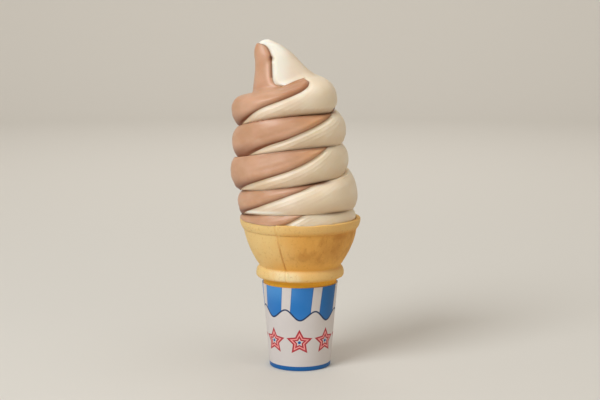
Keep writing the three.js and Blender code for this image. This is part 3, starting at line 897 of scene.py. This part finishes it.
UNDERSIDE_SHADE_RISE = (0.5, 0.05)  # shares of the turn's height between which it comes in
FRONT_DEPTH = 2  # painted highlights and the paler edge lie in front of this
STRIP = (0.9, 1.9)  # width and place of the painted highlight strip in the peak's chocolate, from the vanilla
STRIP_LOW = (143, 146)
STRIP_HIGH = (159, 156)
STRIP_SIDE = (-11.5, -13.5)
VANILLA_HIGHLIGHT = (5, 4)  # the same of the painted highlight on the vanilla beside the divide
VANILLA_HIGHLIGHT_LOW = (138, 150)
EDGE = (0.9, 1.5)  # width and height of the vanilla's pale lower edge at the left
EDGE_LEFT = (-2.94, -2.9)  # turns
EDGE_RIGHT = (-2.76, -2.82)
EDGE_SHARE = 0.9
TONGUE_SHARE = 0.6  # painted shade: the tongue on the top turn is darker and browner
TONGUE_SIDE = (-16, -3)
TONGUE_LOW = (126, 138)
TONGUE_DEPTH = 4


def ice_material(flavour):
    nodes = Nodes(f"{flavour}_ice_cream")
    colors = ICE_COLORS[flavour]
    cloud = nodes.noise((70, 70, 110), 4)
    color = nodes.blend(nodes.ramp(cloud, 0.35, 0.65), colors["light"], colors["dark"])
    x = nodes.axes()[0]
    # Painted light: a warmer tone towards the right side.
    color = nodes.blend(nodes.ramp(x, *RIGHT_LIGHT_SIDE, 0, RIGHT_LIGHT_SHARE[flavour]), color, colors["right"])
    # Painted highlights, and a paler lower edge on the vanilla.
    color = nodes.blend(nodes.carried("highlight_and_pale_edge"), color, colors["highlight_and_pale_edge"])
    if flavour == "chocolate":
        # Painted shade on the top turn's tongue.
        color = nodes.blend(nodes.carried("tongue_shade"), color, CHOCOLATE_TONGUE_SHADE)
    # Painted shade in the crease colour: along the crease, in the pit and under each turn.
    color = nodes.blend(nodes.carried("crease") * CREASE_SHADE_SHARE, color, colors["crease"])
    # Painted shade in the grooves between turns.
    color = nodes.blend(nodes.carried("groove"), color, GROOVE_SHADE_BROWN)
    bump = nodes.bump(nodes.noise((900, 900, 900), 2), 0.00008, 0.5)
    return nodes.finish(
        color, Normal=bump, Roughness=0.44, Subsurface_Weight=0.5, Subsurface_Scale=0.0025,
        Subsurface_Radius=SCATTER[flavour], IOR=1.4, Specular_IOR_Level=0.9,
    )


def rope_place(x, y, z):
    """Where points lie on the rope: their turn, their distance from the dividing line, and their
    heights over the seam below and under the seam above."""
    angle = np.arctan2(-y, -(x - lean_at(z))) / (2 * math.pi) % 1
    turn = np.full(len(x), np.nan)
    for whole in range(math.ceil(ROPE_START), math.ceil(ROPE_END)):
        t = angle + whole
        here = (through(SEAM_HEIGHTS, t) <= z) & (z < through(SEAM_HEIGHTS, t + 1))
        turn[here] = t[here]
    turn = np.where(np.isnan(turn), ROPE_END, np.minimum(turn, ROPE_END))
    low = np.maximum(through(SEAM_HEIGHTS, turn), FILL_TOP)
    high = through(SEAM_HEIGHTS, turn + 1)
    belly = mix((low + high) / 2, low + OPEN_BELLY, ease(OPEN_FROM, OPEN_TO, turn))
    outer = through(SWIRL_RADII, turn)
    pivot = outer - np.minimum(DIVIDE_DEPTH, (outer - CORE_RADIUS) * DIVIDE_SHARE)
    facing = 2 * math.pi * turn + np.radians(through(TWISTS, turn))
    radius = np.hypot(x - lean_at(z), y)
    side = (radius - pivot) * np.cos(facing) + (z - belly) * np.sin(facing)
    return turn, np.abs(side), z - low, high - z


def strand_tones(flavour, x, y, z):
    """The painted shade, painted highlights and paler edge that a strand's points carry for its
    material.
    """
    turn, aside, over, under = rope_place(x, y, z)
    from_divide = x - through(PEAK_DIVIDES, z)
    aside = np.where(z > PEAK_FROM, np.abs(from_divide), aside)
    # Painted shade: along the crease, in the pit and under each turn.
    pit = hill(aside, PIT_WIDTH) * hill(z, PIT_TALL, PIT_HEIGHT) * (y < 0)
    underside_shade = ease(*UNDERSIDE_SHADE_RISE, over / (over + under)) * (z < PEAK_HEIGHTS[0])
    crease = hill(aside, CREASE_SHADE_WIDTH[flavour]) + PIT_SHADE * pit + UNDERSIDE_SHADE[flavour] * underside_shade
    if flavour == "chocolate":
        # Painted highlight: a strip in the peak's chocolate beside the vanilla.
        highlight_and_pale_edge = hill(-from_divide, *STRIP) * ease(*STRIP_LOW, z)
        highlight_and_pale_edge *= ease(*STRIP_HIGH, z) * ease(*STRIP_SIDE, x)
        # Painted shade on the tongue of the top turn.
        tongue_shade = TONGUE_SHARE * ease(*TONGUE_SIDE, x) * ease(*TONGUE_LOW, z) * (y < TONGUE_DEPTH)
    else:
        # Painted highlight on the vanilla beside the divide, and a paler lower edge at the left
        # with less painted shade.
        edge = hill(over, *EDGE) * ease(*EDGE_LEFT, turn) * ease(*EDGE_RIGHT, turn)
        highlight_and_pale_edge = hill(from_divide, *VANILLA_HIGHLIGHT) * ease(*VANILLA_HIGHLIGHT_LOW, z) + EDGE_SHARE * edge
        crease *= 1 - EDGE_SHARE * edge
        tongue_shade = np.zeros_like(x)
    # Painted shade in the grooves under and over each turn.
    groove = through(GROOVE_SHADES, turn) * hill(over, GROOVE_SHADE_REACH)
    above = through(GROOVE_SHADES, turn + 1) * hill(under, GROOVE_SHADE_REACH)
    groove += above * (turn < TOP_GROOVE_END)
    return {"crease": crease, "highlight_and_pale_edge": highlight_and_pale_edge * (y < FRONT_DEPTH), "tongue_shade": tongue_shade, "groove": groove}


def dress_strand(strand, flavour):
    tones = strand_tones(flavour, *(vertex_array(strand.data) / MM).T)
    for key, value in tones.items():
        attribute = strand.data.attributes.new(key, "FLOAT", "POINT")
        attribute.data.foreach_set("value", value.astype(np.float32))
    strand.data.materials.clear()
    strand.data.materials.append(ice_material(flavour))
    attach(strand, "root")
    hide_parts(f"{flavour}_strand")


# ---- wafer: colours ----

WAFER_HIGHLIGHT_CREAM = rgb(242, 226, 182)
WAFER_PALE = rgb(234, 198, 132)
WAFER_GOLD = rgb(230, 170, 84)
WAFER_BROWN = rgb(180, 110, 42)
WAFER_LIT_GOLD = rgb(246, 186, 92)
WAFER_NECK_SHADOWED = rgb(238, 174, 52)
WAFER_PATCHES = (  # toasted more, in the bowl's front: x and z of the middle, reach, strength
    ((1.2, 61.5), (6, 2.8), 0.34),
    ((20, 70.8), (3.2, 2), 0.4),
    ((15.6, 64.5), (4.5, 3.5), 0.2),
)
BOWL_TOAST = (52, 58, 71, 75.5)  # heights where the toasting comes and goes
SEAM_TONE = (52.5, 54.5, 62, 72)  # the same of the mould's seam


def wafer_material():
    nodes = Nodes("toasted_wafer")
    x, y, z = nodes.axes()
    cloud = nodes.noise((55, 55, 45), 4, 0.55)
    mottle = nodes.noise((240, 240, 130), 4, 0.65)
    pores = nodes.noise((900, 900, 900), 3, 0.6)

    # The front's right side and its middle are more golden than the left: partly the wafer's own
    # toasting, partly painted light and shade, with the light from the left.
    side = x + cloud * 30 + nodes.ramp(z, 59, 54) * 3
    color = nodes.blend(nodes.ramp(side, -10, 18), WAFER_PALE, WAFER_GOLD)
    toast = mottle * 44 + nodes.math("MINIMUM", x, 18) * 0.4 + cloud * 8
    brown = nodes.ramp(toast, 25, 42) * height_mask(nodes, z, *BOWL_TOAST)
    color = nodes.blend(brown * 0.5, color, WAFER_BROWN)
    for middle, reach, share in WAFER_PATCHES:
        spot = nodes.ramp(patch_distance(nodes, (x, z), mottle, middle, reach), 1.3, 0.4)
        color = nodes.blend(spot * share, color, WAFER_BROWN)
    # Painted light low on the bowl's front, by the bead, where it lies in shade.
    painted_light = nodes.ramp(z, 59.5, 55.5, 0, 0.45) * nodes.ramp(x, -14, -6)
    color = nodes.blend(painted_light, color, WAFER_LIT_GOLD)

    # The bead and the rim are paler; on the bead this is a painted highlight. The bead also has a
    # painted cream highlight in front. The neck is golden, darkened as painted shadow under the
    # bead.
    bead = nodes.ramp(z, 53.6, 52) * nodes.ramp(z, 46.9, 49.2)
    rim = nodes.ramp(z, 72.3, 75, 0, 0.8)
    color = nodes.blend((bead + rim) * 0.7, color, WAFER_PALE)
    bead_highlight = bead * nodes.ramp(abs(x + mottle * 8 + 3), 11, 2)
    color = nodes.blend(bead_highlight * 0.7, color, WAFER_HIGHLIGHT_CREAM)
    color = nodes.blend(nodes.ramp(z, 48.2, 46.8), color, WAFER_NECK_SHADOWED)

    color = nodes.blend(seam_mask(nodes, x, y, z) * 0.5, color, WAFER_BROWN)
    color = nodes.blend(nodes.ramp(pores, 0.56, 0.72) * 0.35, color, WAFER_BROWN)
    bump = nodes.bump(pores * 0.5 + mottle, 0.00025, 0.6)
    return nodes.finish(
        color, Normal=bump, Roughness=0.62, Subsurface_Weight=0.2, Subsurface_Scale=0.0015,
        Subsurface_Radius=(1.0, 0.6, 0.3), Specular_IOR_Level=0.25,
    )


def height_mask(nodes, z, low, full_low, full_high, high):
    """1 between two heights, fading out below and above them."""
    return nodes.ramp(z, low, full_low) * nodes.ramp(z, high, full_high)


def patch_distance(nodes, place, uneven, middle, reach):
    """Distance from a patch's middle as a share of its reach, made uneven."""
    off_middle = [(at - centre) / size for at, centre, size in zip(place, middle, reach)]
    return nodes.distance(*off_middle) + (uneven - 0.5) * 5


def seam_mask(nodes, x, y, z):
    """1 along the mould's seam on the bowl's front, fading out at the rim and at the bead."""
    angle = nodes.math("DEGREES", nodes.front_angle(x, y))
    aside = angle - MOULD_SEAMS[0] - (z - SEAM_MIDDLE) * MOULD_SLANT
    return nodes.ramp(abs(aside), 2, 0.2) * height_mask(nodes, z, *SEAM_TONE)


# ---- paper: colours and print ----

PAPER_WHITE = rgb(216, 208, 204)
PAPER_GREY = rgb(203, 194, 190)
AWNING_BLUE = rgb(28, 116, 190)
AWNING_FADED = rgb(62, 126, 200)
AWNING_SHADE = rgb(4, 88, 146)
AWNING_LIT = rgb(86, 156, 218)
OUTLINE_NAVY = rgb(16, 46, 88)
FOOT_BLUE = rgb(4, 94, 162)
STAR_RED = rgb(178, 44, 56)
STAR_PINK = rgb(244, 156, 152)
STAR_RINGS = ((0, STAR_RED), (0.8, STAR_PINK), (1.4, STAR_RED), (2.1, PAPER_WHITE))  # from outside
SOFT_EDGE = 0.1  # half of the width over which an edge of the print changes
SOFT_STAR = 0.08
SOFT_SIDE = 0.007  # a stripe's, as a share of the period
BORDER = 0.03  # a stripe's darker border, also in shares
BORDER_FULL = 0.012


def star_distance(nodes, across, up):
    """Distance from the outline of a five-pointed star, below 0 inside it, and from its middle."""
    reach = nodes.distance(across, up)
    fold = nodes.math("PINGPONG", nodes.math("ARCTAN2", across, up), math.pi / 5)
    along = reach * nodes.math("COSINE", fold)
    beside = reach * nodes.math("SINE", fold)
    side = (STAR_WAIST * math.cos(math.pi / 5) - STAR_RADIUS, STAR_WAIST * math.sin(math.pi / 5))
    size = math.hypot(*side)
    inwards = (along - STAR_RADIUS) * (side[1] / size)
    return inwards + beside * (-side[0] / size), reach


def paper_material():
    nodes = Nodes("striped_paper")
    x, y, z = nodes.axes()
    # Both angles run on from the lap, where the print breaks off.
    lap = math.radians(LAP_ANGLE - 360)
    angle = nodes.math("WRAP", nodes.front_angle(x, y), lap + 2 * math.pi, lap)
    degrees = nodes.math("DEGREES", angle)
    place = degrees - STRIPE_PLACE + (SLEEVE_HIGH - z) * STRIPE_SLANT
    away = abs(nodes.math("FRACT", place / STRIPE_PERIOD + 0.5) - 0.5)

    # The awning's edge: a rounded scallop under each stripe, and its slope for an even outline.
    tilt = nodes.math("SINE", angle) * -AWNING_TILT
    edge = nodes.ramp(away, 0, 0.5, AWNING_LOW, AWNING_LOW + SCALLOP_DEPTH) + tilt
    steepest = 6 * SCALLOP_DEPTH / (STRIPE_PERIOD / 2 * math.radians(STEM_TOP[0]))
    share = away * 2
    slope = share * (1 - share) * steepest
    over = (z - edge) / nodes.math("SQRT", nodes.math("POWER", slope, 2) + 1)

    # Paper and blue, both a little uneven. The blue has painted shade at the right and painted
    # light at the top left.
    fade = nodes.noise((80, 80, 80), 2)
    paper = nodes.blend(nodes.ramp(fade, 0.3, 0.7, 0, 0.3), PAPER_WHITE, PAPER_GREY)
    blue = nodes.blend(nodes.ramp(fade, 0.35, 0.65, 0, 0.3), AWNING_BLUE, AWNING_FADED)
    blue = nodes.blend(nodes.ramp(x, 4, 17, 0, 0.7), blue, AWNING_SHADE)
    lit = nodes.ramp(z, 33, 43, 0, 0.6) * nodes.ramp(x, 4, -10)
    blue = nodes.blend(lit, blue, AWNING_LIT)

    side = nodes.ramp(away, STRIPE_SHARE + SOFT_SIDE, STRIPE_SHARE - SOFT_SIDE)
    stripe = side * nodes.ramp(over, -SOFT_EDGE, SOFT_EDGE)
    color = nodes.blend(stripe, paper, blue)
    border = stripe * nodes.ramp(away, STRIPE_SHARE - BORDER, STRIPE_SHARE - BORDER_FULL)
    color = nodes.blend(border * 0.35, color, OUTLINE_NAVY)
    outline = nodes.ramp(abs(over), OUTLINE + SOFT_EDGE, OUTLINE - SOFT_EDGE)
    color = nodes.blend(outline, color, OUTLINE_NAVY)
    foot = nodes.ramp(z, FOOT_BAND_TOP + SOFT_EDGE, FOOT_BAND_TOP - SOFT_EDGE)
    color = nodes.blend(foot, color, FOOT_BLUE)

    turn = (degrees - STAR_PLACE) / STRIPE_PERIOD
    across = (nodes.math("FRACT", turn + 0.5) - 0.5) * STAR_CELL
    star, reach = star_distance(nodes, across, z - STAR_HEIGHT)
    for inset, ink in STAR_RINGS:
        color = nodes.blend(nodes.ramp(star, SOFT_STAR - inset, -SOFT_STAR - inset), color, ink)
    dot = nodes.ramp(reach, DOT_RADIUS + SOFT_STAR, DOT_RADIUS - SOFT_STAR)
    color = nodes.blend(dot, color, FOOT_BLUE)

    # Only the paper's outside is printed.
    taper = (STEM_TOP[0] - BASE_RADIUS) / STEM_TOP[1]
    stem = z * taper + (BASE_RADIUS + SLEEVE_GAP)
    printed = nodes.ramp(nodes.distance(x, y) - stem, 0.1, 0.2)
    color = nodes.blend(printed, PAPER_WHITE, color)

    bump = nodes.bump(nodes.noise((500, 500, 160), 3), 0.00004, 0.5)
    return nodes.finish(color, Normal=bump, Roughness=0.5, Specular_IOR_Level=0.4)


# ---- stage ----

FLOOR_RADIUS = 1.5  # metres; round the floor its edge sweeps up, so that no horizon shows
SWEEP_RADIUS = 0.7
SWEEP_END = 80  # degrees
FLOOR_SIDES = 90
PITCH = 8.2  # degrees that the camera looks down


def make_camera():
    camera = bpy.data.cameras.new("camera")
    camera.lens = 84
    camera.sensor_width = 36
    holder = put_in_scene("camera", camera)
    holder.location = (0, -0.715, 0.1897)
    holder.rotation_euler = (math.radians(90 - PITCH), 0, 0)
    bpy.context.scene.camera = holder


def make_light(name, location, target, size, power, color=(1, 1, 1)):
    light = bpy.data.lights.new(name, "AREA")
    light.shape = "DISK"
    light.size = size
    light.energy = power
    light.color = color
    holder = put_in_scene(name, light)
    holder.location = location
    aim = Vector(target) - Vector(location)
    holder.rotation_euler = aim.to_track_quat("-Z", "Y").to_euler()


def make_stage():
    rise = np.radians(np.linspace(0, SWEEP_END, 40))
    radii = [0.4, 0.8, 1.2, *(FLOOR_RADIUS + SWEEP_RADIUS * np.sin(rise))]
    heights = [0, 0, 0, *(SWEEP_RADIUS * (1 - np.cos(rise)))]
    turn = np.linspace(math.pi / 2, 5 * math.pi / 2, FLOOR_SIDES, endpoint=False)
    points, faces = loft([round_ring(turn, r / MM, h / MM) for r, h in zip(radii, heights)])
    floor = new_object("floor", points, faces[:-FLOOR_SIDES])
    floor.data.shade_smooth()
    floor.data.materials.append(Nodes("floor").finish(rgb(216, 210, 200), Roughness=0.9))
    world = bpy.data.worlds.new("studio")
    world.use_nodes = True
    background = world.node_tree.nodes["Background"].inputs
    background["Color"].default_value = rgb(228, 221, 210)
    background["Strength"].default_value = 0.39
    bpy.context.scene.world = world
    make_light("key", (-0.8, -0.9, 1.05), (0, 0, 0.1), 0.8, 17.5, (0.88, 0.94, 1))
    make_light("top", (0.3, -0.1, 1.3), (0, 0, 0.1), 1.2, 4)
    make_light("fill", (0.8, -0.9, 0.5), (0, 0, 0.1), 0.9, 1.2, (1, 0.94, 0.86))
    make_light("backdrop", (0, 0.9, 1.3), (0, 1.9, 0.1), 0.9, 9)
    bpy.context.scene.view_settings.view_transform = "Standard"


make_camera()
make_stage()
make_cup()
make_sleeve()
make_swirl()
